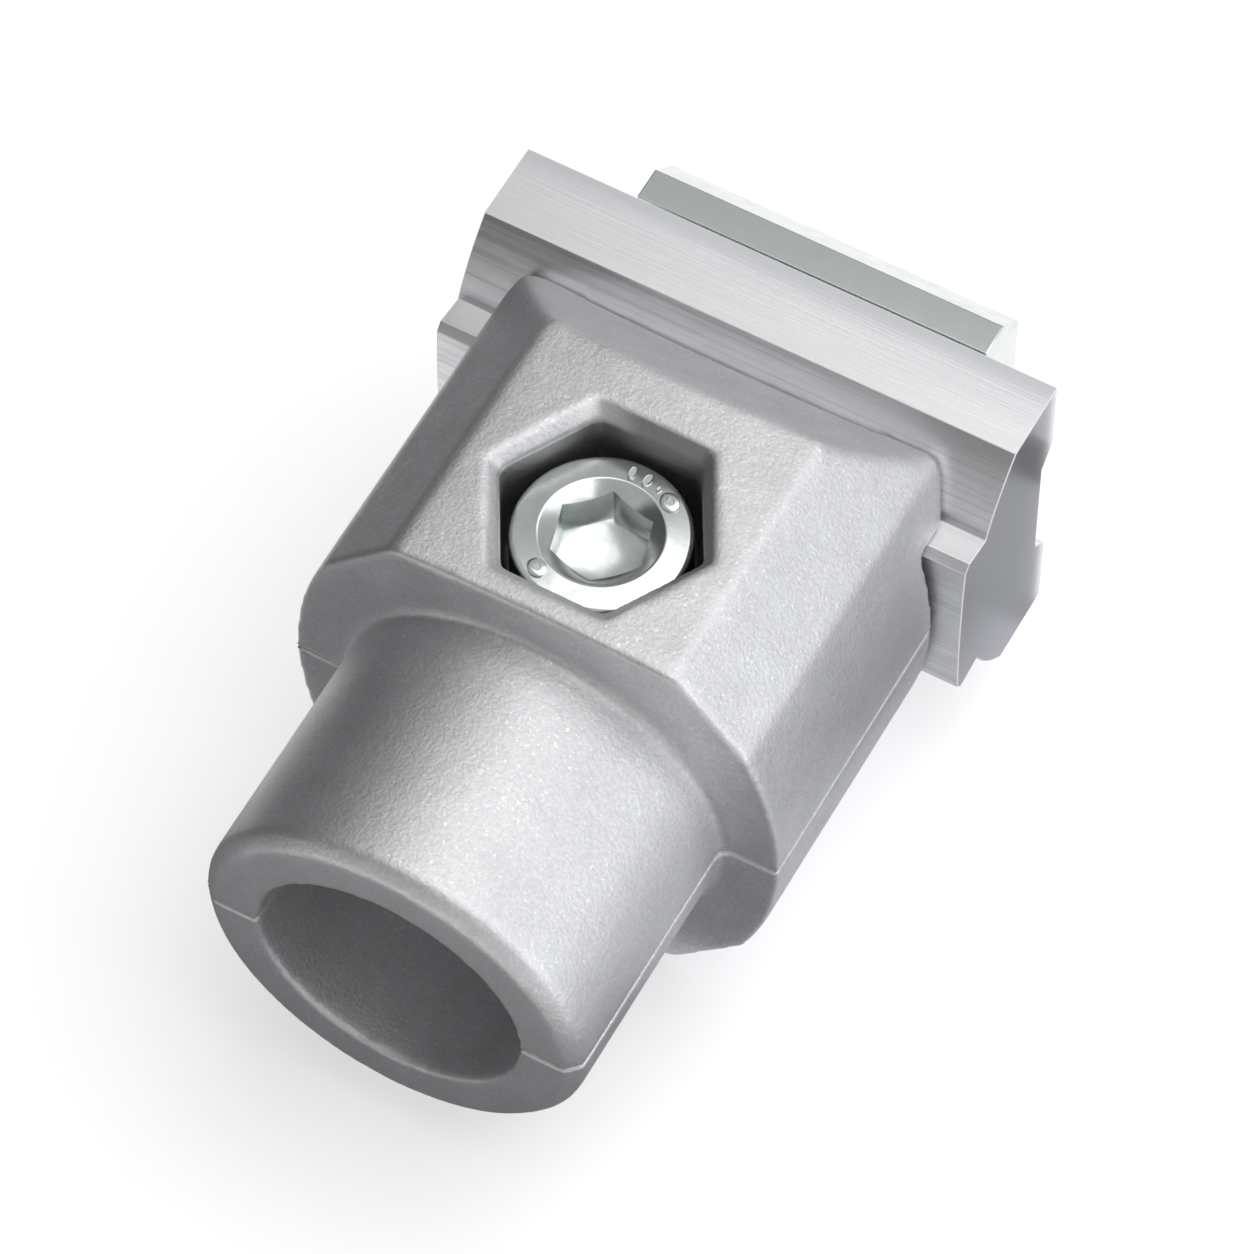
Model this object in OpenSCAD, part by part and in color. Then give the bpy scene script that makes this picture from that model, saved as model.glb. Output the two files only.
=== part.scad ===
// Connector between the end of a round tube and a slotted 30 mm profile.
// X runs along the profile, Y points into the profile, Z is up.
// The profile's face lies at y = 0, and the tube's axis is the line x = 0, z = 0.

/* [Tube end] */
// Outer diameter of the tube, level with the clamp's top and bottom
tube_d = 30; // [28:0.5:34]
// Bore of the tube
tube_bore_d = 23.6; // [21:0.2:24.4]
// Play between the spigot and the bore, on the radius
spigot_gap = 0.2; // [0.1:0.05:0.4]
// Length of the spigot inside the tube
spigot_len = 16; // [10:0.5:24]
// Wall of the half-round spigot shell
spigot_wall = 3.6; // [2.4:0.2:5]
// Lead-in chamfer at the spigot's tip
spigot_chamfer = 0.8; // [0.3:0.1:1.5]

/* [Clamp half] */
// Distance from the profile's face to the tube's end
stand_off = 28.9; // [27:0.1:32]
// Width of the clamp at the parting line
clamp_w = 30; // [28:0.2:32]
// Width across the two shoulder corners
shoulder_w = 25.8; // [24:0.2:27]
// Height of the shoulder corners above the tube's axis
shoulder_z = 9.8; // [9:0.1:10.5]
// Width of the top between its two creases
top_w = 17.2; // [14:0.2:18.4]
// Drop of the slightly arched top from its middle to the creases
top_drop = 0.35; // [0.1:0.05:0.8]
// Radius on the creases and shoulders
crease_r = 1.3; // [0.5:0.1:2]
// Wall of the casting
wall = 2.6; // [2:0.1:3.2]
// Gap between the two halves at the parting line
parting_gap = 0.1; // [0.05:0.05:0.6]

/* [Claw] */
// Distance from the profile's face to the upper edge of the cove
cove_top_y = 12.2; // [11.6:0.1:13.4]
// Distance from the profile's face to the claw's tip
claw_tip_y = 6.5; // [6.4:0.1:6.9]
// Height of the claw's tip above the tube's axis
claw_tip_z = 8.9; // [8.8:0.1:9.3]
// Radius of the cove in side view
cove_r = 60; // [30:5:90]
// Distance of the axis about which the cove curves, behind the profile's face
cove_axis_y = 160; // [80:10:200]
// Radius on the two upright corners of the claw, seen from above
claw_corner_r = 1.1; // [0.5:0.1:1.6]
// Play between the claw and the rail
claw_gap = 0.1; // [0.05:0.05:0.2]
// Gap between the casting and the front of the rail's key
face_gap = 0.35; // [0.2:0.05:0.6]

/* [Rail adapter] */
// Length of the rail along the profile
rail_len = 33; // [30:0.2:60]
// Height of the rail's flange
flange_h = 20.8; // [20:0.2:22]
// Thickness of the flange at its edges
flange_t = 4.9; // [4.2:0.1:5]
// Size of the small step in front of the flange's edge
step = 0.5; // [0.3:0.1:0.6]
// Distance from the profile's face to the foot of the key
neck_y = 8.1; // [7.9:0.1:8.4]
// Height of the rail at the foot of the key
neck_h = 12; // [11.8:0.2:12.6]
// Bulge of the neck's round stretch
neck_bulge = 0.2; // [0.1:0.01:0.3]
// Height of the key over its two tips
key_h = 12.6; // [12.2:0.2:13.4]
// Distance from the profile's face to the tips of the key
key_tip_y = 10; // [9.8:0.1:10.2]
// Height of the key's front face
key_front_h = 11.6; // [11.2:0.2:12.4]
// Distance from the profile's face to the front of the key
key_reach = 10.6; // [10.4:0.1:11.2]
// Crown of the key's front face
key_crown = 0.15; // [0.1:0.05:0.2]
// Width of the relief between the rail's two back pads
relief_w = 10.2; // [9:0.2:12]
// Depth of the relief
relief_depth = 1.2; // [0.8:0.1:2]
// Slope of the relief's sides, as the offset over the depth
relief_slope = 1.2; // [0.4:0.1:1.6]

/* [Clamp screw and nut] */
// Nominal diameter of both screws
thread_d = 6; // [5:0.5:6]
// Diameter of both screw heads
head_d = 10; // [9.4:0.2:10.4]
// Height of the clamp screw's head
head_h = 6; // [5:0.5:7]
// Rounding of the screw heads' edges
head_edge = 0.3; // [0.2:0.1:0.8]
// Width across flats of the clamp screw's socket
socket_af = 5; // [4:0.5:5.5]
// Depth of the flats in the clamp screw's socket
socket_depth = 3; // [2:0.5:4]
// Turn of the clamp screw's head, as it happens to be tightened
socket_turn = -14; // [-30:1:30]
// Margin of the sockets' round lead-in past the hexagon's corners, on the radius
lead_in = 0.55; // [0.2:0.05:0.9]
// Width across flats of the nut
nut_af = 10; // [9.4:0.2:10.4]
// Height of the nut
nut_h = 5; // [4:0.5:6]
// Play of the screw head and the nut in the hexagonal pocket, across flats
pocket_gap = 0.8; // [0.4:0.1:1.2]
// Radius in the corners of the hexagonal pocket
pocket_corner_r = 0.7; // [0.3:0.1:1]
// Depth of the hexagonal pocket
pocket_depth = 8.5; // [8:0.1:9]
// Bevel round the pocket's mouth
pocket_bevel = 0.85; // [0.4:0.05:1]
// Distance from the tube's end to the clamp screw
screw_inset = 7.6; // [7:0.1:8.2]
// Play of a screw in its plain hole, on the radius
hole_gap = 0.3; // [0.2:0.05:0.5]
// Play of a screw in its nut, on the radius
thread_gap = 0.05; // [0.02:0.01:0.1]
// Length of thread past a nut
overrun = 1; // [0.5:0.1:2]
// Chamfer at the end of a screw
thread_chamfer = 0.6; // [0.3:0.1:0.9]

/* [Rail screw and slot nut] */
// Height of the rail screw's low head
low_head_h = 4; // [3:0.5:4]
// Depth of the low head below the key's front
low_head_sink = 0.4; // [0.2:0.1:0.8]
// Width across flats of the rail screw's socket
low_socket_af = 4; // [3:0.5:4.5]
// Depth of the rail screw's socket
low_socket_depth = 2.2; // [1.5:0.1:2.6]
// Play of the low head in its counterbore, on the radius
bore_gap = 0.2; // [0.15:0.05:0.4]
// Thickness of the profile's slot lips
lip_t = 2.5; // [2:0.1:3.5]
// Width of the slot nut's neck between the lips
slot_neck_w = 7.8; // [7.4:0.1:8]
// Height of the slot nut's neck
slot_neck_h = 1.8; // [1:0.1:2]
// Width of the slot nut
slot_nut_w = 13; // [12:0.5:15]
// Thickness of the slot nut behind the lips
slot_nut_t = 4.1; // [3:0.1:6]
// Length of the slot nut
slot_nut_len = 22; // [16:1:30]
// Chamfer along the slot nut's back edges
slot_nut_chamfer = 2; // [1:0.1:2.5]

/* [Hidden] */
$fn = 64;
cast_grey = "#b9bbbd";
rail_grey = "#c9cbcc";
zinc_grey = "#d9dcdb";
// Straight stretches in each arc of an outline
arc_steps = 8;
// Length by which a cut runs past a face
past = 1;
// Thickness of the slices that a hull joins
slice = 0.01;
// Angle between a nut's chamfer and its face
nut_chamfer_angle = 30;
// Angle between the sloping bottom of a socket and its mouth
socket_point_angle = 30;

top_z = tube_d / 2;
spigot_r = tube_bore_d / 2 - spigot_gap;
thread_r = thread_d / 2;
pocket_af = max(head_d, nut_af) + pocket_gap;
seat_z = top_z - pocket_depth;
screw_y = screw_inset - stand_off;
boss_r = hex_r(pocket_af) + wall * 0.75;
front_y = -key_reach - face_gap;
clamp_screw_len = 2 * seat_z + nut_h + overrun;
low_seat_y = low_head_sink + low_head_h - key_reach;
slot_nut_back_y = lip_t + slot_nut_t;
rail_screw_len = slot_nut_back_y + overrun - low_seat_y;

// Corner radius of a hexagon with a given width across flats
function hex_r(across_flats) = across_flats / sqrt(3);

// Radius of the circle whose arc over two half chords has a given rise
function arc_r(half_chord, rise) = (half_chord * half_chord + rise * rise) / (2 * rise);

// Points from p to q along an arc that bulges to the right of the way from p to q
function bow(p, q, rise) =
    let (
        way = (q - p) / norm(q - p),
        right = [way[1], -way[0]],
        half = norm(q - p) / 2,
        r = arc_r(half, rise),
        spread = asin(half / r)
    )
    [for (i = [-arc_steps:arc_steps])
        let (a = spread * i / arc_steps)
        (p + q) / 2 + way * (r * sin(a)) + right * (r * cos(a) - r + rise)];

// Centre of the circle of radius r through p and q, to the left of the way from p to q
function arc_centre(p, q, r) =
    let (way = (q - p) / norm(q - p), half = norm(q - p) / 2)
    (p + q) / 2 + [-way[1], way[0]] * sqrt(r * r - half * half);

// Half of the clamp's width at a height z between the shoulders
function wall_x(z) =
    let (r = arc_r(shoulder_z, (clamp_w - shoulder_w) / 2))
    clamp_w / 2 - r + sqrt(r * r - z * z);

// The mirror image of an outline's points across either axis, in the opposite order
function across_x(points) = [for (i = [len(points) - 1:-1:0]) [-points[i][0], points[i][1]]];
function across_z(points) = [for (i = [len(points) - 1:-1:0]) [points[i][0], -points[i][1]]];

// Extrudes an outline in X and Z between two places along Y
module along_y(from, to) {
    translate([0, to, 0]) rotate([90, 0, 0]) linear_extrude(to - from) children();
}

// Extrudes an outline in Y and Z to both sides of x = 0
module along_x(length) {
    rotate([90, 0, 90]) linear_extrude(length, center = true) children();
}

// Outline of both clamp halves together in X and Z, with rounded creases
module clamp_outline() {
    side = bow([shoulder_w / 2, -shoulder_z], [shoulder_w / 2, shoulder_z], (clamp_w - shoulder_w) / 2);
    top = bow([top_w / 2, top_z - top_drop], [-top_w / 2, top_z - top_drop], top_drop);
    outline = concat(side, top, across_x(side), across_z(top));
    offset(r = crease_r) offset(delta = -crease_r) polygon(outline);
}

// Outline of the rail in Y and Z: two back pads, round necks and a crowned key with sharp tips
module rail_outline() {
    neck_top = [-flange_t - step, flange_h / 2 - step];
    neck_foot = [-neck_y, neck_h / 2];
    upper = concat(
        [
            [-relief_depth, relief_w / 2 - relief_slope],
            [0, relief_w / 2],
            [0, flange_h / 2],
            [-flange_t, flange_h / 2]
        ],
        bow(neck_top, neck_foot, neck_bulge),
        [[-key_tip_y, key_h / 2]]
    );
    front_edge = [key_crown - key_reach, key_front_h / 2];
    front = bow(front_edge, [front_edge[0], -front_edge[1]], key_crown);
    polygon(concat(upper, front, across_z(upper)));
}

// Everything above the parting line that belongs to the upper half
module upper_side() {
    translate([-tube_d, -stand_off - spigot_len - past, parting_gap / 2])
        cube([2 * tube_d, stand_off + spigot_len + past, tube_d]);
}

// Hollow under the casting, on both sides of the boss round the screw
module core() {
    difference() {
        along_y(wall - stand_off, front_y - wall) offset(delta = -wall) clamp_outline();
        translate([0, screw_y, -tube_d]) cylinder(r = boss_r, h = 2 * tube_d);
    }
}

// Round spigot with a lead-in chamfer and an open channel, as both halves make it together
module spigot() {
    rotate([90, 0, 0]) rotate_extrude() polygon([
        [spigot_r - spigot_wall, stand_off],
        [spigot_r - spigot_wall, stand_off + spigot_len],
        [spigot_r - spigot_chamfer, stand_off + spigot_len],
        [spigot_r, stand_off + spigot_len - spigot_chamfer],
        [spigot_r, stand_off - wall / 2],
        [spigot_r - spigot_wall, stand_off - wall / 2]
    ]);
}

// Cut that leaves the sloping, hollow surface between the top and the claw's tip
module cove() {
    centre = arc_centre([-cove_top_y, top_z], [-claw_tip_y, claw_tip_z], cove_r);
    translate([0, cove_axis_y, 0]) rotate([0, 0, 180]) rotate_extrude(angle = 180)
        translate([cove_axis_y - centre[0], centre[1]]) circle(r = cove_r);
}

// What the claw loses at its two upright corners, from the foot of the rail's key up past the tip
module claw_corners() {
    foot = [wall_x(neck_h / 2), -neck_y, neck_h / 2];
    tip = [wall_x(claw_tip_z), -claw_tip_y, claw_tip_z];
    above = foot + (tip - foot) * (shoulder_z - foot[2]) / (tip[2] - foot[2]);
    difference() {
        along_x(clamp_w + 2 * past) polygon([
            [foot[1] - claw_corner_r, foot[2]],
            [above[1] - claw_corner_r, above[2]],
            [0, above[2]],
            [0, foot[2]]
        ]);
        hull() for (side = [-1, 1], end = [foot, above])
            translate([side * (end[0] - claw_corner_r), end[1] - claw_corner_r, end[2] - slice / 2])
                cylinder(r = claw_corner_r, h = slice, $fn = 32);
    }
}

// Room for the rail: its outline with the claw's play, and the space before the key
module rail_room() {
    along_x(clamp_w + 2 * past) offset(delta = claw_gap) rail_outline();
    translate([-clamp_w / 2 - past, front_y, -tube_d])
        cube([clamp_w + 2 * past, -front_y + past, tube_d + key_h / 2 + claw_gap]);
}

// Hexagonal pocket with its bevelled mouth, and the plain hole through its floor
module screw_pocket() {
    mouth_z = top_z - pocket_bevel;
    translate([0, screw_y, 0]) {
        translate([0, 0, seat_z]) linear_extrude(pocket_depth + past)
            offset(r = pocket_corner_r) offset(delta = -pocket_corner_r) circle(r = hex_r(pocket_af), $fn = 6);
        translate([0, 0, mouth_z])
            cylinder(r1 = hex_r(pocket_af), r2 = hex_r(pocket_af + 4 * pocket_bevel), h = 2 * pocket_bevel, $fn = 6);
        translate([0, 0, -past]) cylinder(r = thread_r + hole_gap, h = seat_z + 2 * past);
    }
}

// One casting, which serves as the upper half and, turned over, as the lower half
module clamp_half() {
    intersection() {
        difference() {
            union() {
                difference() {
                    along_y(-stand_off, -flange_t - step) clamp_outline();
                    core();
                }
                spigot();
            }
            cove();
            claw_corners();
            rail_room();
            screw_pocket();
        }
        upper_side();
    }
}

// Socket head screw with the underside of its head at z = 0 and its head upwards
module socket_screw(height, length, across_flats, depth) {
    head_r = head_d / 2;
    corner_r = hex_r(across_flats);
    mouth_r = corner_r + lead_in;
    point_h = across_flats / 2 * tan(socket_point_angle);
    difference() {
        rotate_extrude() polygon([
            [0, height],
            [head_r - head_edge, height],
            [head_r - head_edge * (1 - sin(45)), height - head_edge * (1 - cos(45))],
            [head_r, height - head_edge],
            [head_r, 0],
            [thread_r, 0],
            [thread_r, thread_chamfer - length],
            [thread_r - thread_chamfer, -length],
            [0, -length]
        ]);
        translate([0, 0, height - depth]) cylinder(r = corner_r, h = depth + past, $fn = 6);
        translate([0, 0, height - depth - point_h]) cylinder(r1 = 0, r2 = across_flats / 2, h = point_h);
        translate([0, 0, height - lead_in]) cylinder(r1 = corner_r, r2 = mouth_r + lead_in, h = 2 * lead_in);
    }
}

module upper_clamp_half() {
    color(cast_grey) clamp_half();
}

module lower_clamp_half() {
    color(cast_grey) rotate([0, 180, 0]) clamp_half();
}

module clamp_screw() {
    color(zinc_grey) translate([0, screw_y, seat_z]) rotate([0, 0, socket_turn])
        socket_screw(head_h, clamp_screw_len, socket_af, socket_depth);
}

// Hexagon nut, chamfered on both faces, against the floor of the lower pocket
module clamp_nut() {
    flat_r = nut_af / 2 * 0.97;
    drop = (hex_r(nut_af) - flat_r) * tan(nut_chamfer_angle);
    bore_r = thread_r + thread_gap;
    color(zinc_grey) translate([0, screw_y, -seat_z - nut_h]) difference() {
        intersection() {
            cylinder(r = hex_r(nut_af), h = nut_h, $fn = 6);
            rotate_extrude() polygon([
                [0, 0],
                [flat_r, 0],
                [hex_r(nut_af), drop],
                [hex_r(nut_af), nut_h - drop],
                [flat_r, nut_h],
                [0, nut_h]
            ]);
        }
        translate([0, 0, -past]) cylinder(r = bore_r, h = nut_h + 2 * past);
    }
}

// Sawn length of extruded rail with a counterbored hole through its middle
module rail_adapter() {
    color(rail_grey) difference() {
        along_x(rail_len) rail_outline();
        translate([0, past, 0]) rotate([90, 0, 0]) cylinder(r = thread_r + hole_gap, h = key_reach + 2 * past);
        translate([0, low_seat_y, 0]) rotate([90, 0, 0]) cylinder(r = head_d / 2 + bore_gap, h = key_reach);
    }
}

module rail_screw() {
    color(zinc_grey) translate([0, low_seat_y, 0]) rotate([90, 0, 0])
        socket_screw(low_head_h, rail_screw_len, low_socket_af, low_socket_depth);
}

// Nut behind the lips of the profile's slot, with its neck between them
module slot_nut() {
    upper = [
        [slot_nut_back_y, slot_nut_w / 2 - slot_nut_chamfer],
        [slot_nut_back_y - slot_nut_chamfer, slot_nut_w / 2],
        [lip_t, slot_nut_w / 2],
        [lip_t, slot_neck_w / 2],
        [lip_t - slot_neck_h, slot_neck_w / 2]
    ];
    color(zinc_grey) difference() {
        along_x(slot_nut_len) polygon(concat(upper, across_z(upper)));
        translate([0, -past, 0]) rotate([-90, 0, 0])
            cylinder(r = thread_r + thread_gap, h = slot_nut_back_y + 2 * past);
    }
}

upper_clamp_half();
lower_clamp_half();
clamp_screw();
clamp_nut();
rail_adapter();
rail_screw();
slot_nut();
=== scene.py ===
"""Looks of a clamp in two cast halves with a round spigot and a short rail.

X runs along the rail, Y points from the spigot to the rail and Z is up. Lengths are written in millimetres.
"""
import math

import bmesh
import bpy
import numpy as np
from mathutils import Matrix, Vector, noise
from mathutils.geometry import intersect_point_line


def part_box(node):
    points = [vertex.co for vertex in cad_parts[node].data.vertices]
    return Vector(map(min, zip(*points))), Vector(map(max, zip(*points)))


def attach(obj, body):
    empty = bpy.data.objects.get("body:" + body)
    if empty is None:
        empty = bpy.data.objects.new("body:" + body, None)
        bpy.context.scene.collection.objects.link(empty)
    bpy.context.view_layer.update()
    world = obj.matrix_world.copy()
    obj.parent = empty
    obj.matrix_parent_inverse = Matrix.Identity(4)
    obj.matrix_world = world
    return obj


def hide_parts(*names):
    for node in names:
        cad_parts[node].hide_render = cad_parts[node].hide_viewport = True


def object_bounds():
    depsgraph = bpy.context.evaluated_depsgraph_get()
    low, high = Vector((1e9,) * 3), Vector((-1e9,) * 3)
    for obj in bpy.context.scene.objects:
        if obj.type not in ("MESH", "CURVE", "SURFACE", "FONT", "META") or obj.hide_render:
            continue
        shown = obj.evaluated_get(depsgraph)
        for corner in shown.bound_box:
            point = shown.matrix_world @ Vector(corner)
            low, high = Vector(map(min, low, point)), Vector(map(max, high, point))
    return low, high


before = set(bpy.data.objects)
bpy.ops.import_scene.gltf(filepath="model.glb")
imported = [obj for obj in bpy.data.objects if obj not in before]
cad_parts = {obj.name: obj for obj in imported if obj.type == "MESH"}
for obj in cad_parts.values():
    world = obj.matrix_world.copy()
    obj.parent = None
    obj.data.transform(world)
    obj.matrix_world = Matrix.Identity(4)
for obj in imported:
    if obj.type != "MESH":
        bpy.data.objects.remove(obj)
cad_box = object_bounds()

MM = 0.001
UP = Vector((0, 0, 1))
UPRIGHT = Matrix.Rotation(math.pi / 2, 4, "X")
SIDEWAYS = Matrix.Rotation(math.pi / 2, 4, "Y")
WELD_DISTANCE = 0.002

# Camera, at the photograph's place and turned to the middle of the object
CAMERA_PLACE = (104.3, -206.8, 343.6)
CAMERA_AIM = (0, -18.5, -1)
LENS = 212

# Castings
CAST_VOXEL = 0.24
CAST_SMOOTHING = 6
POCKET_SMOOTHING = 2
PARTING_EDGE = 0.35
POCKET_LEVEL = 5
POCKET_REACH = 7.3
SCREW_AXIS = Vector((0, -21.3))
SOFT_EDGE = (Vector((8.6, -12, 14.7)), Vector((13.2, -6.7, 9.2)))
SOFT_EDGE_REACH = 1.2
SOFT_EDGE_SMOOTHING = 14
CAST_GRAIN = 0.012
CAST_GRAIN_PER_MM = 2.2
CAST_TOP = 15
ARCH_DROP = 0.35
ARCH_REACH = 8.6

# Painted shade in the pockets and on the side of their bevels that faces away from the light, with the
# widths over which it fades
POCKET_BEVEL = 0.85
WALL_FADE = 0.2
BEVEL_REACH = 8
BEVEL_FADE = 0.3
PAINTED_SHADE_TOP = 0.02
PAINTED_SHADE_TOP_FADE = 0.15
SHADED_SIDE = np.array((math.cos(math.radians(40)), math.sin(math.radians(40))))
SHADED_SIDE_START = 1
SHADED_SIDE_FADE = 4

# Eased edges, and the angles past which shading breaks
RAIL_EDGE = 0.24
KEY_FACET_Y = -9.9
KEY_FACET_TILT = 0.3
SQUARE_TO_AXIS = 0.95
# Share of painted highlight on the rail's level faces and the tilted facets at the front of its key
PAINTED_HIGHLIGHT_SHARE = 0.55
NUT_EDGE = 0.18
SLOT_NUT_EDGE = 0.25
SHARP_ANGLE = math.radians(25)
FLAT_ANGLE = math.radians(0.5)
EASED_SHADE_ANGLE = math.radians(50)
SCREW_SHADE_ANGLE = math.radians(32)
MARK_SHADE_ANGLE = math.radians(40)

# Heads of the screws, from the socket outwards and down to the underside
CLAMP_HEAD_HEIGHT = 6
CLAMP_SOCKET = 5
CLAMP_SOCKET_DEPTH = 3
RAIL_HEAD_HEIGHT = 4
RAIL_SOCKET = 4
RAIL_SOCKET_DEPTH = 2.2
SOCKET_FLOOR_SHARE = 0.96
SOCKET_POINT_ANGLE = math.radians(30)
SOCKET_TURN = math.radians(-14)
LEAD_IN = 0.55
LEAD_IN_DEPTH = 0.35
LEAD_IN_INSIDE = 0.06
LEAD_IN_OUTSIDE = 0.04
LEAD_IN_DROP = 0.04
RING_SLOPE = math.radians(5)
RING_START = 0.1
RING_END = 0.06
HEAD_EDGE = 0.3
HEAD_EDGE_STEPS = 4
KNURLS = 48
KNURL_DEPTH = 0.12
KNURL_TOP_GAP = 0.35
KNURL_BOTTOM = 0.75
HEAD_FOOT = 0.4
HEAD_FOOT_CHAMFER = 0.15
AROUND = 192

# Marks on the clamp screw's head, each with its angle in degrees, width, length and share of hollow
MARKS = (
    (95, 0.42, 0.9, 0),
    (82, 0.46, 0.9, 0),
    (70, 0.2, 0.4, 0),
    (56, 1.25, 1.05, 0.5),
    (242, 1.2, 1.05, 0.5)
)
MARK_RADIUS = 4.1
MARK_SEGMENTS = 28
MARK_ROOT = 0.06
MARK_RISE = 0.13
MARK_CROWN = 0.04
MARK_CROWN_SHRINK = 0.14
HOLLOW_DEPTH = 0.06
HOLLOW_SHRINK = 0.12

# Threads
SHANK_RADIUS = 3
THREAD_RADIUS = 2.98
THREAD_TOP = 0.2
THREAD_PITCH = 1.0
THREAD_DEPTH = 0.55
THREAD_CREST = (0.36, 0.48)
THREAD_ROOT = 0.86
THREAD_CHAMFER = 0.6
THREAD_STEPS = 36
THREAD_MERGE = 0.01
THREAD_CUT = 0.001

# Light
WORLD_LEVEL = 0.47
FLOOR_COLOUR = (0.95, 0.95, 0.95, 1)
FLOOR_GLOW = 0.38
FLOOR_RADIUS = 2500
CARD_TINT = 0.04
BACK_CARD_X = 57
BACK_CARD_Y = 0.2
BACK_CARD_WIDTH = 80
BACK_CARDS = (("lower", -15, 0, 0.36), ("slot", 0, 4.5, 0.1), ("upper", 4.5, 15, 0.45))


def in_metres(values):
    return Vector(values) * MM


def box_in_mm(name):
    low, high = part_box(name)
    return low / MM, high / MM


def linked_object(name, mesh):
    piece = bpy.data.objects.new(name, mesh)
    bpy.context.scene.collection.objects.link(piece)
    return piece


def finished(name, bm, *materials):
    """Makes an object of a bmesh that is modelled in millimetres."""
    bmesh.ops.scale(bm, vec=(MM,) * 3, verts=bm.verts)
    mesh = bpy.data.meshes.new(name)
    bm.to_mesh(mesh)
    bm.free()
    for material in materials:
        mesh.materials.append(material)
    return linked_object(name, mesh)


def shade(piece, angle):
    piece.data.shade_smooth()
    piece.data.set_sharp_from_angle(angle=angle)


def welded(name):
    """A node's mesh as one joined surface, in millimetres."""
    bm = bmesh.new()
    bm.from_mesh(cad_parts[name].data)
    bmesh.ops.scale(bm, vec=(1 / MM,) * 3, verts=bm.verts)
    bmesh.ops.remove_doubles(bm, verts=bm.verts, dist=WELD_DISTANCE)
    return bm


def points_of(mesh):
    places = np.empty(len(mesh.vertices) * 3, np.float32)
    mesh.vertices.foreach_get("co", places)
    return places.reshape(-1, 3)


def normals_of(mesh):
    normals = np.empty(len(mesh.vertices) * 3, np.float32)
    mesh.vertex_normals.foreach_get("vector", normals)
    return normals.reshape(-1, 3)


# Modelling of the pieces

def smooth(bm, verts, times):
    for _ in range(times):
        bmesh.ops.smooth_vert(
            bm, verts=verts, factor=0.5, use_axis_x=True, use_axis_y=True, use_axis_z=True
        )


def in_pocket(place):
    """Whether a place on a casting belongs to a pocket, which keeps crisper edges."""
    return abs(place.z) > POCKET_LEVEL and (place.xy - SCREW_AXIS).length < POCKET_REACH


def on_soft_edge(place):
    """Whether a place on a casting lies near the edge between a sloping side and the cove."""
    mirrored = Vector((abs(place.x), place.y, abs(place.z)))
    nearest, share = intersect_point_line(mirrored, *SOFT_EDGE)
    return 0 < share < 1 and (mirrored - nearest).length < SOFT_EDGE_REACH


def painted_shade_shares(places):
    """How much painted shade each place gets.

    The walls of a pocket and the bevel on its side that faces away from the light are painted darker.
    """
    offset = places[:, :2] - SCREW_AXIS
    far = np.hypot(*offset.T)
    depth = CAST_TOP - ARCH_DROP * (places[:, 0] / ARCH_REACH) ** 2 - np.abs(places[:, 2])
    wall = (far < POCKET_REACH) * np.clip((depth - POCKET_BEVEL) / WALL_FADE, 0, 1)
    side = np.clip((offset @ SHADED_SIDE + SHADED_SIDE_START) / SHADED_SIDE_FADE, 0, 1)
    shaded_bevel = side * np.clip((BEVEL_REACH - far) / BEVEL_FADE, 0, 1)
    return np.maximum(wall, shaded_bevel * np.clip((depth - PAINTED_SHADE_TOP) / PAINTED_SHADE_TOP_FADE, 0, 1))


def add_values(mesh, name, values):
    attribute = mesh.attributes.new(name, "FLOAT", "POINT")
    attribute.data.foreach_set("value", values.astype(np.float32))


def casting(name, material):
    """A clamp half with its edges rounded off evenly, as a die casting leaves the blasting cabin."""
    rough = finished(name + "_rough", welded(name))
    rough.data.transform(Matrix.Scale(1 / MM, 4))
    remesh = rough.modifiers.new("remesh", "REMESH")
    remesh.mode = "VOXEL"
    remesh.voxel_size = CAST_VOXEL
    depsgraph = bpy.context.evaluated_depsgraph_get()
    even = bpy.data.meshes.new_from_object(rough.evaluated_get(depsgraph))
    bpy.data.objects.remove(rough)
    before = points_of(even)
    bm = bmesh.new()
    bm.from_mesh(even)
    free = [vert for vert in bm.verts if abs(vert.co.z) > PARTING_EDGE]
    smooth(bm, free, POCKET_SMOOTHING)
    smooth(bm, [vert for vert in free if not in_pocket(vert.co)], CAST_SMOOTHING - POCKET_SMOOTHING)
    smooth(bm, [vert for vert in bm.verts if on_soft_edge(vert.co)], SOFT_EDGE_SMOOTHING)
    bm.normal_update()
    for vert in bm.verts:
        vert.co += vert.normal * (CAST_GRAIN * (noise.noise(vert.co * CAST_GRAIN_PER_MM) - 0.5))
    piece = finished(name + "_cast", bm, material)
    after = points_of(piece.data) / MM
    worn = ((before - after) * normals_of(piece.data)).sum(1)
    add_values(piece.data, "edge", worn)
    # Share of painted shade in the pockets and on the bevel side that faces away from the light
    add_values(piece.data, "painted_shade", painted_shade_shares(after))
    piece.data.shade_smooth()
    return piece


def eased(name, width, *materials):
    """A node with its sharp edges taken off and the triangles of its flat faces joined."""
    bm = welded(name)
    edge = bm.faces.layers.float.new("edge")
    bmesh.ops.dissolve_limit(bm, angle_limit=FLAT_ANGLE, verts=bm.verts, edges=bm.edges)
    sharp = [e for e in bm.edges if len(e.link_faces) == 2 and e.calc_face_angle() > SHARP_ANGLE]
    made = bmesh.ops.bevel(
        bm, geom=sharp, offset=width, segments=2, profile=0.5, affect="EDGES", material=-1,
        clamp_overlap=True
    )
    for face in made["faces"]:
        face[edge] = 1
    piece = finished(name + "_eased", bm, *materials)
    shade(piece, EASED_SHADE_ANGLE)
    piece.modifiers.new("even shading", "WEIGHTED_NORMAL").keep_sharp = True
    return piece


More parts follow.
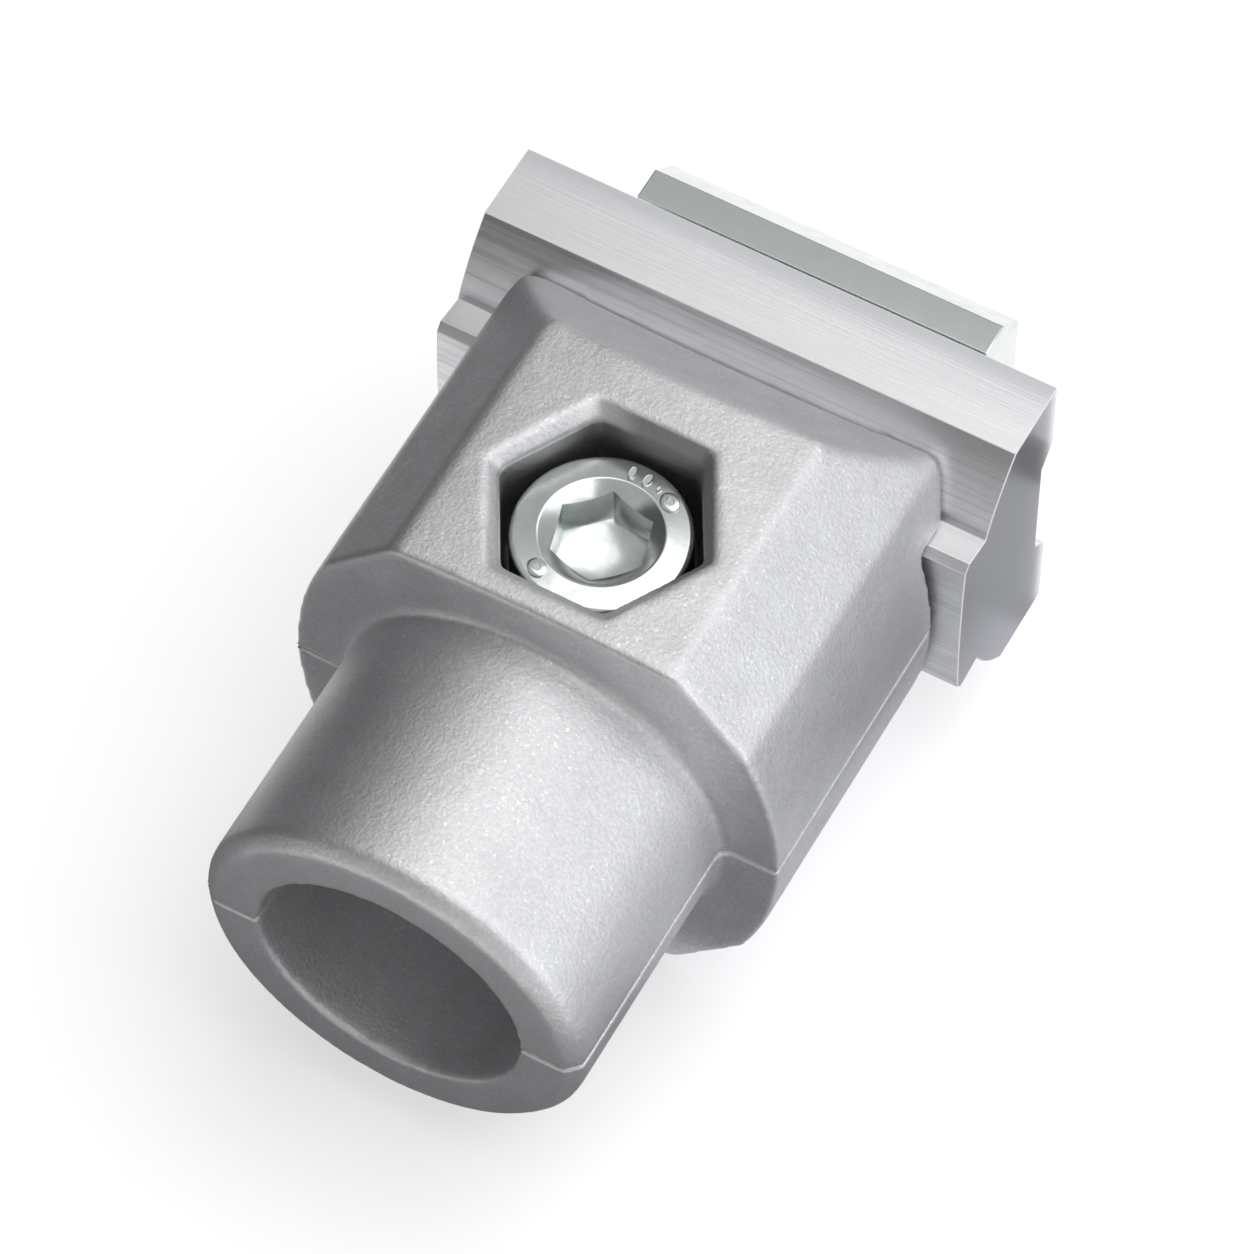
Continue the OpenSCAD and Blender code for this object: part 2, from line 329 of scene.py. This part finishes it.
def ring_on(bm, edges, place):
    """Extrudes a ring of edges and puts each new vertex at the radius and height for its angle."""
    made = bmesh.ops.extrude_edge_only(bm, edges=edges)["geom"]
    for vert in (g for g in made if isinstance(g, bmesh.types.BMVert)):
        angle = math.atan2(vert.co.y, vert.co.x)
        radius, height = place(angle)
        vert.co = (radius * math.cos(angle), radius * math.sin(angle), height)
    return [g for g in made if isinstance(g, bmesh.types.BMEdge)]


def hexagon(angle, across_flats):
    """Distance from a hexagon's centre to its side, with a corner at angle 0."""
    step = math.pi / 3
    return across_flats / 2 / math.cos(angle % step - step / 2)


def head(bm, radius, height, across_flats, depth, shank_radius):
    """A knurled socket head with the underside at height 0."""
    corner = across_flats / math.sqrt(3)
    floor = height - depth
    bottom = bmesh.ops.create_circle(
        bm, cap_ends=True, cap_tris=True, segments=AROUND, radius=across_flats / 2 * SOCKET_FLOOR_SHARE,
        matrix=Matrix.Translation((0, 0, floor))
    )["verts"]
    middle = min(bottom, key=lambda vert: vert.co.xy.length)
    middle.co.z = floor - across_flats / 2 * math.tan(SOCKET_POINT_ANGLE)
    rim = [e for e in bm.edges if e.is_boundary]

    def flats(angle):
        return hexagon(angle, across_flats)

    def knurled(level):
        return lambda angle: (radius - KNURL_DEPTH * (0.5 + 0.5 * math.cos(KNURLS * angle)), level)

    slope = math.tan(RING_SLOPE)
    edge_level = height - slope * (radius - HEAD_EDGE - corner - LEAD_IN)
    rings = [
        lambda angle: (flats(angle), floor),
        lambda angle: (flats(angle), height - LEAD_IN_DEPTH * (1 + (corner - flats(angle)) / LEAD_IN)),
        lambda angle: (corner + LEAD_IN - LEAD_IN_INSIDE, height - LEAD_IN_DROP),
        lambda angle: (corner + LEAD_IN + LEAD_IN_OUTSIDE, height),
        lambda angle: (corner + LEAD_IN + RING_START, height - slope * RING_START),
        lambda angle: (radius - HEAD_EDGE - RING_END, edge_level + slope * RING_END)
    ]
    for step in range(HEAD_EDGE_STEPS + 1):
        turn = math.pi / 2 * step / HEAD_EDGE_STEPS
        rings.append(
            lambda angle, turn=turn: (
                radius - HEAD_EDGE * (1 - math.sin(turn)), edge_level - HEAD_EDGE * (1 - math.cos(turn))
            )
        )
    rings += [
        knurled(height - HEAD_EDGE - KNURL_TOP_GAP),
        knurled(KNURL_BOTTOM),
        lambda angle: (radius, HEAD_FOOT),
        lambda angle: (radius - HEAD_FOOT_CHAMFER, 0),
        lambda angle: (shank_radius, 0)
    ]
    for place in rings:
        rim = ring_on(bm, rim, place)
    bmesh.ops.edgeloop_fill(bm, edges=rim)


def thread(bm, radius, top, tip):
    """A threaded shank from height top down to its chamfered tip."""
    root = radius - THREAD_DEPTH
    turns = math.ceil((top - tip) / THREAD_PITCH) + 2
    start = tip - THREAD_PITCH
    crest_start, crest_end = THREAD_CREST
    outline = [(root, 0), (radius, crest_start), (radius, crest_end), (root, THREAD_ROOT), (root, 1)]
    verts = [bm.verts.new((far, 0, start + share * THREAD_PITCH)) for far, share in outline]
    edges = [bm.edges.new(pair) for pair in zip(verts, verts[1:])]
    bmesh.ops.spin(
        bm, geom=verts + edges, cent=(0, 0, 0), axis=UP, dvec=UP * (THREAD_PITCH / THREAD_STEPS),
        angle=2 * math.pi * turns, steps=THREAD_STEPS * turns, use_merge=False
    )
    bmesh.ops.remove_doubles(bm, verts=bm.verts, dist=THREAD_MERGE)
    for level, side in ((tip, -UP), (top, UP)):
        everything = list(bm.verts) + list(bm.edges) + list(bm.faces)
        cut = bmesh.ops.bisect_plane(
            bm, geom=everything, plane_co=(0, 0, level), plane_no=side, clear_outer=True, dist=THREAD_CUT
        )
        rim = [g for g in cut["geom_cut"] if isinstance(g, bmesh.types.BMEdge)]
        bmesh.ops.edgeloop_fill(bm, edges=rim)
    for vert in bm.verts:
        room = radius - THREAD_CHAMFER + vert.co.z - tip
        far = vert.co.xy.length
        if far > room:
            vert.co.xy *= room / far
    bmesh.ops.recalc_face_normals(bm, faces=bm.faces)


def socket_screw(name, place, turn, radius, height, across_flats, depth, length, material):
    """A socket head screw whose head's underside lies at place; turn points its head the right way."""
    bm = bmesh.new()
    head(bm, radius, height, across_flats, depth, SHANK_RADIUS)
    shank = bmesh.new()
    thread(shank, THREAD_RADIUS, THREAD_TOP, -length)
    mesh = bpy.data.meshes.new(name + "_shank")
    shank.to_mesh(mesh)
    shank.free()
    bm.from_mesh(mesh)
    bpy.data.meshes.remove(mesh)
    bmesh.ops.transform(bm, matrix=Matrix.Translation(place) @ turn, verts=bm.verts)
    bmesh.ops.recalc_face_normals(bm, faces=bm.faces)
    piece = finished(name, bm, material)
    shade(piece, SCREW_SHADE_ANGLE)
    return piece


def head_marks(name, centre, level, material):
    """Plain raised marks on the ring of the screw's head: two bars, a dot and two ovals with a hollow."""
    bm = bmesh.new()
    root = Matrix.Translation(Vector((*centre, level - MARK_ROOT)))
    for degrees, wide, long, hollow in MARKS:
        turn = Matrix.Rotation(math.radians(degrees), 4, "Z")
        place = root @ turn @ Matrix.Translation((MARK_RADIUS, 0, 0))
        outline = place @ Matrix.Diagonal((long, wide, 1, 1))
        foot = bmesh.ops.create_circle(
            bm, cap_ends=False, segments=MARK_SEGMENTS, radius=0.5, matrix=outline
        )["verts"]
        rim = list({edge for vert in foot for edge in vert.link_edges})
        middle = place.translation
        inner_shrink = HOLLOW_SHRINK if hollow else 0
        steps = (
            (MARK_RISE, 0), (MARK_CROWN, MARK_CROWN_SHRINK), (0, hollow), (-HOLLOW_DEPTH, inner_shrink)
        )
        for rise, shrink in steps:
            made = bmesh.ops.extrude_edge_only(bm, edges=rim)["geom"]
            rim = [g for g in made if isinstance(g, bmesh.types.BMEdge)]
            for vert in (g for g in made if isinstance(g, bmesh.types.BMVert)):
                vert.co.xy = vert.co.xy.lerp(middle.xy, shrink)
                vert.co.z += rise
        bmesh.ops.edgeloop_fill(bm, edges=rim)
    bmesh.ops.recalc_face_normals(bm, faces=bm.faces)
    piece = finished(name, bm, material)
    shade(piece, MARK_SHADE_ANGLE)
    return piece


# Node helpers

def node(tree, kind, inputs=None, **settings):
    made = tree.nodes.new(kind)
    for name, value in settings.items():
        setattr(made, name, value)
    for key, value in (inputs or {}).items():
        socket = made.inputs[key]
        if isinstance(value, bpy.types.NodeSocket):
            tree.links.new(value, socket)
        else:
            socket.default_value = value
    return made


def new_group(name, numbers, outputs):
    """An empty node group with a vector input, number inputs and number outputs."""
    group = bpy.data.node_groups.new(name, "ShaderNodeTree")
    group.interface.new_socket("Vector", in_out="INPUT", socket_type="NodeSocketVector")
    for key, value in numbers.items():
        group.interface.new_socket(key, in_out="INPUT", socket_type="NodeSocketFloat").default_value = value
    for key in outputs:
        group.interface.new_socket(key, in_out="OUTPUT", socket_type="NodeSocketFloat")
    return group, group.nodes.new("NodeGroupInput"), group.nodes.new("NodeGroupOutput")


def math_node(tree, operation, first, second=0.0):
    return node(tree, "ShaderNodeMath", {0: first, 1: second}, operation=operation).outputs[0]


def stretch(tree, value, low, high, to_low=0.0, to_high=1.0):
    """Maps a value from one range to another and keeps it inside the second."""
    inputs = {"Value": value, "From Min": low, "From Max": high, "To Min": to_low, "To Max": to_high}
    return node(tree, "ShaderNodeMapRange", inputs).outputs["Result"]


def mixed(tree, factor, first, second):
    inputs = {0: factor, 6: first, 7: second}
    return node(tree, "ShaderNodeMix", inputs, data_type="RGBA").outputs[2]


def noise_node(tree, vector, scale, detail=3.0, roughness=0.55):
    inputs = {"Vector": vector, "Scale": scale, "Detail": detail, "Roughness": roughness}
    return node(tree, "ShaderNodeTexNoise", inputs).outputs["Fac"]


def blasted_group():
    """Fine pits and sparse bright flecks of a blasted casting, over slow patches."""
    group, given, result = new_group("blasted grain", {"Grain": 0.35}, ("Height", "Flecks", "Patches"))
    per_metre = math_node(group, "DIVIDE", 1 / MM, given.outputs["Grain"])
    fine = noise_node(group, given.outputs["Vector"], per_metre, detail=4.0, roughness=0.62)
    fleck_scale = math_node(group, "MULTIPLY", per_metre, 1.35)
    flecks = noise_node(group, given.outputs["Vector"], fleck_scale, detail=2.0)
    patch_scale = math_node(group, "MULTIPLY", per_metre, 0.09)
    patches = noise_node(group, given.outputs["Vector"], patch_scale, detail=4.0)
    group.links.new(fine, result.inputs["Height"])
    group.links.new(stretch(group, flecks, 0.6, 0.72), result.inputs["Flecks"])
    group.links.new(stretch(group, patches, 0.3, 0.7), result.inputs["Patches"])
    return group


def drawn_group():
    """Lines that run along X, as the die draws them in an extrusion, with patches of rubbing."""
    masks = ("Lines", "Bands", "Patches", "Grooves")
    group, given, result = new_group("drawn lines", {"Pitch": 0.12}, masks)
    along = node(group, "ShaderNodeMapping", {"Vector": given.outputs["Vector"], "Scale": (0.012, 1, 1)})
    per_metre = math_node(group, "DIVIDE", 1 / MM, given.outputs["Pitch"])
    lines = noise_node(group, along.outputs["Vector"], per_metre, detail=4.0, roughness=0.7)
    band_scale = math_node(group, "MULTIPLY", per_metre, 0.16)
    bands = noise_node(group, along.outputs["Vector"], band_scale, detail=3.0, roughness=0.6)
    rubbed = node(group, "ShaderNodeMapping", {"Vector": given.outputs["Vector"], "Scale": (0.16, 1, 1)})
    patch_scale = math_node(group, "MULTIPLY", per_metre, 0.11)
    patches = noise_node(group, rubbed.outputs["Vector"], patch_scale, detail=5.0, roughness=0.65)
    level = node(group, "ShaderNodeMapping", {"Vector": given.outputs["Vector"], "Scale": (0.003, 0, 1)})
    groove_scale = math_node(group, "MULTIPLY", per_metre, 0.5)
    grooves = noise_node(group, level.outputs["Vector"], groove_scale, detail=1.0, roughness=0.5)
    group.links.new(stretch(group, grooves, 0.54, 0.62), result.inputs["Grooves"])
    group.links.new(stretch(group, lines, 0.3, 0.7), result.inputs["Lines"])
    group.links.new(stretch(group, bands, 0.35, 0.65), result.inputs["Bands"])
    group.links.new(stretch(group, patches, 0.35, 0.68), result.inputs["Patches"])
    return group


def new_material(name, metallic):
    material = bpy.data.materials.new(name)
    material.use_nodes = True
    tree = material.node_tree
    shader = tree.nodes["Principled BSDF"]
    shader.inputs["Metallic"].default_value = metallic
    place = tree.nodes.new("ShaderNodeTexCoord").outputs["Object"]
    return material, tree, shader, place


def bump(tree, shader, height, strength, distance):
    inputs = {"Strength": strength, "Distance": distance * MM, "Height": height}
    made = node(tree, "ShaderNodeBump", inputs)
    tree.links.new(made.outputs["Normal"], shader.inputs["Normal"])


def grey(level, tint=0.0):
    return (level * (1 - tint * 0.3), level, level * (1 + tint), 1)


def cast_aluminium(group):
    material, tree, shader, place = new_material("blasted cast aluminium", 1.0)
    grain = node(tree, "ShaderNodeGroup", node_tree=group)
    tree.links.new(place, grain.inputs["Vector"])
    grain.inputs["Grain"].default_value = 0.24
    edge = node(tree, "ShaderNodeAttribute", attribute_name="edge").outputs["Fac"]
    ground = mixed(tree, grain.outputs["Patches"], grey(0.76, 0.015), grey(0.84, 0.015))
    pit_share = stretch(tree, grain.outputs["Height"], 0.36, 0.64, to_low=0.16, to_high=0)
    sanded = mixed(tree, pit_share, ground, grey(0.3))
    fleck_share = stretch(tree, grain.outputs["Flecks"], 0, 1, to_low=0, to_high=0.8)
    flecked = mixed(tree, fleck_share, sanded, grey(0.95))
    edge_share = stretch(tree, edge, 0.02, 0.12, to_low=0, to_high=0.2)
    rubbed = mixed(tree, edge_share, flecked, grey(0.8))
    # Painted shade: the pocket walls and the bevel side that faces away from the light are darkened
    painted_shade = node(tree, "ShaderNodeAttribute", attribute_name="painted_shade").outputs["Fac"]
    with_painted_shade = mixed(tree, painted_shade, rubbed, grey(0.46, 0.01))
    unshaded = math_node(tree, "SUBTRACT", 1, painted_shade)
    border = math_node(tree, "MULTIPLY", painted_shade, unshaded)
    # Painted highlight along the border where the painted shade fades out
    rim = math_node(tree, "MULTIPLY", border, 3)
    tree.links.new(mixed(tree, rim, with_painted_shade, grey(0.95)), shader.inputs["Base Color"])
    fleck_roughness = stretch(tree, grain.outputs["Flecks"], 0, 1, to_low=0.52, to_high=0.36)
    tree.links.new(fleck_roughness, shader.inputs["Roughness"])
    bump(tree, shader, grain.outputs["Height"], strength=0.55, distance=0.07)
    return material


def drawn_aluminium(group):
    material, tree, shader, place = new_material("drawn aluminium", 1.0)
    drawn = node(tree, "ShaderNodeGroup", node_tree=group)
    tree.links.new(place, drawn.inputs["Vector"])
    edge = node(tree, "ShaderNodeAttribute", attribute_name="edge").outputs["Fac"]
    ground = mixed(tree, drawn.outputs["Lines"], grey(0.74, 0.03), grey(0.83, 0.03))
    banded = mixed(tree, drawn.outputs["Bands"], ground, grey(0.78, 0.03))
    patch_share = stretch(tree, drawn.outputs["Patches"], 0, 1, to_low=0, to_high=0.6)
    patched = mixed(tree, patch_share, banded, grey(0.96))
    groove_share = stretch(tree, drawn.outputs["Grooves"], 0, 1, to_low=0, to_high=0.3)
    grooved = mixed(tree, groove_share, patched, grey(0.4))
    # Painted highlight on the rail's eased edges, together with their nicks: paler, rougher and less
    # metallic; the level faces and key facets get a share of it
    nicked_and_highlighted = mixed(tree, edge, grooved, grey(0.97))
    tree.links.new(nicked_and_highlighted, shader.inputs["Base Color"])
    tree.links.new(stretch(tree, edge, 0.6, 1, to_low=1, to_high=0.3), shader.inputs["Metallic"])
    face_roughness = stretch(tree, drawn.outputs["Patches"], 0, 1, to_low=0.38, to_high=0.28)
    edge_roughness = stretch(tree, edge, 0, 1, to_low=0, to_high=0.75)
    rougher = math_node(tree, "MAXIMUM", face_roughness, edge_roughness)
    tree.links.new(rougher, shader.inputs["Roughness"])
    bump(tree, shader, drawn.outputs["Lines"], strength=0.25, distance=0.02)
    return material


def sawn_aluminium():
    material, tree, shader, place = new_material("sawn aluminium", 1.0)
    turned = {"Vector": place, "Scale": (1, 1, 0.03), "Rotation": (0.25, 0, 0)}
    across = node(tree, "ShaderNodeMapping", turned)
    marks = noise_node(tree, across.outputs["Vector"], 5000, detail=3.0, roughness=0.6)
    ground = mixed(tree, stretch(tree, marks, 0.3, 0.7), grey(0.79, 0.04), grey(0.81, 0.04))
    tree.links.new(ground, shader.inputs["Base Color"])
    shader.inputs["Roughness"].default_value = 0.34
    bump(tree, shader, marks, strength=0.2, distance=0.02)
    return material


def bright_zinc():
    material, tree, shader, place = new_material("bright zinc", 1.0)
    cloud = noise_node(tree, place, 900, detail=4.0, roughness=0.6)
    ground = mixed(tree, stretch(tree, cloud, 0.3, 0.7), (0.64, 0.68, 0.66, 1), (0.76, 0.79, 0.77, 1))
    tree.links.new(ground, shader.inputs["Base Color"])
    tree.links.new(stretch(tree, cloud, 0.3, 0.7, to_low=0.24, to_high=0.16), shader.inputs["Roughness"])
    bump(tree, shader, cloud, strength=0.12, distance=0.03)
    return material


def plain_material(name, colour, roughness):
    material, _, shader, _ = new_material(name, 0.0)
    shader.inputs["Base Color"].default_value = colour
    shader.inputs["Roughness"].default_value = roughness
    shader.inputs["Specular IOR Level"].default_value = 0.0
    return material


def glowing_material(name, level):
    """A surface of even brightness, whatever light falls on it."""
    material, _, shader, _ = new_material(name, 0.0)
    shader.inputs["Base Color"].default_value = grey(0)
    shader.inputs["Specular IOR Level"].default_value = 0.0
    shader.inputs["Emission Color"].default_value = grey(level, CARD_TINT)
    shader.inputs["Emission Strength"].default_value = 1.0
    return material


# Stage

def add_camera():
    data = bpy.data.cameras.new("camera")
    data.lens = LENS
    data.clip_start = 0.01
    camera = bpy.data.objects.new("camera", data)
    bpy.context.scene.collection.objects.link(camera)
    camera.location = in_metres(CAMERA_PLACE)
    aim = in_metres(CAMERA_AIM) - camera.location
    camera.rotation_euler = aim.to_track_quat("-Z", "Y").to_euler()
    bpy.context.scene.camera = camera


def add_softbox(name, place, turn, size, level, colour=(1, 1, 1)):
    """A rectangular lamp with its brightness as level, which shines down until it is turned."""
    data = bpy.data.lights.new(name, "AREA")
    data.shape = "RECTANGLE"
    data.size, data.size_y = size[0] * MM, size[1] * MM
    data.energy = level * math.pi * data.size * data.size_y
    data.color = colour
    lamp = bpy.data.objects.new(name, data)
    bpy.context.scene.collection.objects.link(lamp)
    lamp.location = in_metres(place)
    lamp.rotation_euler = [math.radians(degrees) for degrees in turn]


def add_floor():
    """A pale floor that looks white to the camera and in the metal, and still takes the shadow."""
    bm = bmesh.new()
    bmesh.ops.create_circle(
        bm, cap_ends=True, segments=64, radius=FLOOR_RADIUS,
        matrix=Matrix.Translation((0, 0, cad_box[0].z / MM))
    )
    material = plain_material("pale floor", FLOOR_COLOUR, 1.0)
    tree = material.node_tree
    path = tree.nodes.new("ShaderNodeLightPath").outputs
    mirrored = math_node(tree, "MAXIMUM", path["Is Glossy Ray"], path["Is Transmission Ray"])
    seen = math_node(tree, "MAXIMUM", path["Is Camera Ray"], mirrored)
    shader = tree.nodes["Principled BSDF"]
    shader.inputs["Emission Color"].default_value = grey(1)
    tree.links.new(math_node(tree, "MULTIPLY", seen, FLOOR_GLOW), shader.inputs["Emission Strength"])
    floor = finished("floor", bm, material)


def add_card(name, stand, size, level):
    """A card of even brightness that only reflections show."""
    bm = bmesh.new()
    bmesh.ops.create_grid(bm, x_segments=1, y_segments=1, size=0.5)
    bmesh.ops.transform(bm, matrix=stand @ Matrix.Diagonal((*size, 1, 1)), verts=bm.verts)
    card = finished(name, bm, glowing_material(name, level))
    card.visible_camera = False
    card.visible_diffuse = False
    card.visible_shadow = False


def add_cards():
    """Dark cards left and in front, and grey ones beside, behind and under the rail and the spigot."""
    add_card("left_card", Matrix.Translation((-48, -8, 28)) @ SIDEWAYS, (86, 140), 0.09)
    add_card("front_card", Matrix.Translation((-70, -200, 160)) @ UPRIGHT, (240, 110), 0.05)
    add_card("spigot_card", Matrix.Translation((0, -63, -14.8)), (90, 64), 0.16)
    add_card("shade_card", Matrix.Translation((42, -5, -14.8)), (40, 14), 0.08)
    add_card("floor_card", Matrix.Translation((62, -26, -14.9)), (116, 56), 0.54)
    add_card("behind_card", Matrix.Translation((-22, BACK_CARD_Y, 12)) @ UPRIGHT, (78, 3), 0.4)
    for name, bottom, top, level in BACK_CARDS:
        place = Matrix.Translation((BACK_CARD_X, BACK_CARD_Y, (bottom + top) / 2))
        add_card(name + "_back_card", place @ UPRIGHT, (BACK_CARD_WIDTH, top - bottom), level)


def add_world():
    world = bpy.data.worlds.new("studio")
    bpy.context.scene.world = world
    world.use_nodes = True
    world.node_tree.nodes["Background"].inputs["Color"].default_value = (1, 1, 1, 1)
    world.node_tree.nodes["Background"].inputs["Strength"].default_value = WORLD_LEVEL


def stands_for(piece, name):
    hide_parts(name)
    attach(piece, "root")


add_camera()
add_world()
add_floor()
add_cards()
add_softbox("top_softbox", place=(200, 175, 560), turn=(0, 0, -40), size=(620, 600), level=1.3)
add_softbox(
    "right_softbox", place=(420, 60, 130), turn=(0, 73, 10.6), size=(260, 300), level=1.6,
    colour=(0.99, 1, 1.06)
)

cast = cast_aluminium(blasted_group())
drawn = drawn_aluminium(drawn_group())
sawn = sawn_aluminium()
zinc = bright_zinc()

for half in ("upper_clamp_half", "lower_clamp_half"):
    stands_for(casting(half, cast), half)

rail = eased("rail_adapter", RAIL_EDGE, drawn, sawn)
# Painted highlight on the rail's level faces and the tilted facets at the key's front, given as a share of
# the edge attribute
nick_and_highlight_shares = rail.data.attributes["edge"].data
for face in rail.data.polygons:
    if abs(face.normal.x) > SQUARE_TO_AXIS:
        face.material_index = 1
    level_face = abs(face.normal.z) > SQUARE_TO_AXIS
    key_facet = face.center.y < KEY_FACET_Y * MM and abs(face.normal.z) > KEY_FACET_TILT
    if key_facet or level_face:
        nick_and_highlight_shares[face.index].value = PAINTED_HIGHLIGHT_SHARE
stands_for(rail, "rail_adapter")

nut = eased("clamp_nut", NUT_EDGE, zinc)
stands_for(nut, "clamp_nut")
slot_nut = eased("slot_nut", SLOT_NUT_EDGE, zinc)
stands_for(slot_nut, "slot_nut")

low, high = box_in_mm("clamp_screw")
screw_middle = (low + high) / 2
seat = high.z - CLAMP_HEAD_HEIGHT
clamp_screw = socket_screw(
    "clamp_screw_head", (screw_middle.x, screw_middle.y, seat),
    Matrix.Rotation(SOCKET_TURN, 4, "Z"),
    (high.y - low.y) / 2, CLAMP_HEAD_HEIGHT, CLAMP_SOCKET, CLAMP_SOCKET_DEPTH, seat - low.z, zinc
)
stands_for(clamp_screw, "clamp_screw")
marks = head_marks("head_marks", screw_middle.xy, high.z, zinc)
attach(marks, "root")

low, high = box_in_mm("rail_screw")
seat = low.y + RAIL_HEAD_HEIGHT
rail_screw = socket_screw(
    "rail_screw_low_head", (0, seat, 0), UPRIGHT,
    (high.x - low.x) / 2, RAIL_HEAD_HEIGHT, RAIL_SOCKET, RAIL_SOCKET_DEPTH, high.y - seat, zinc
)
stands_for(rail_screw, "rail_screw")

bpy.context.scene.view_settings.view_transform = "Standard"
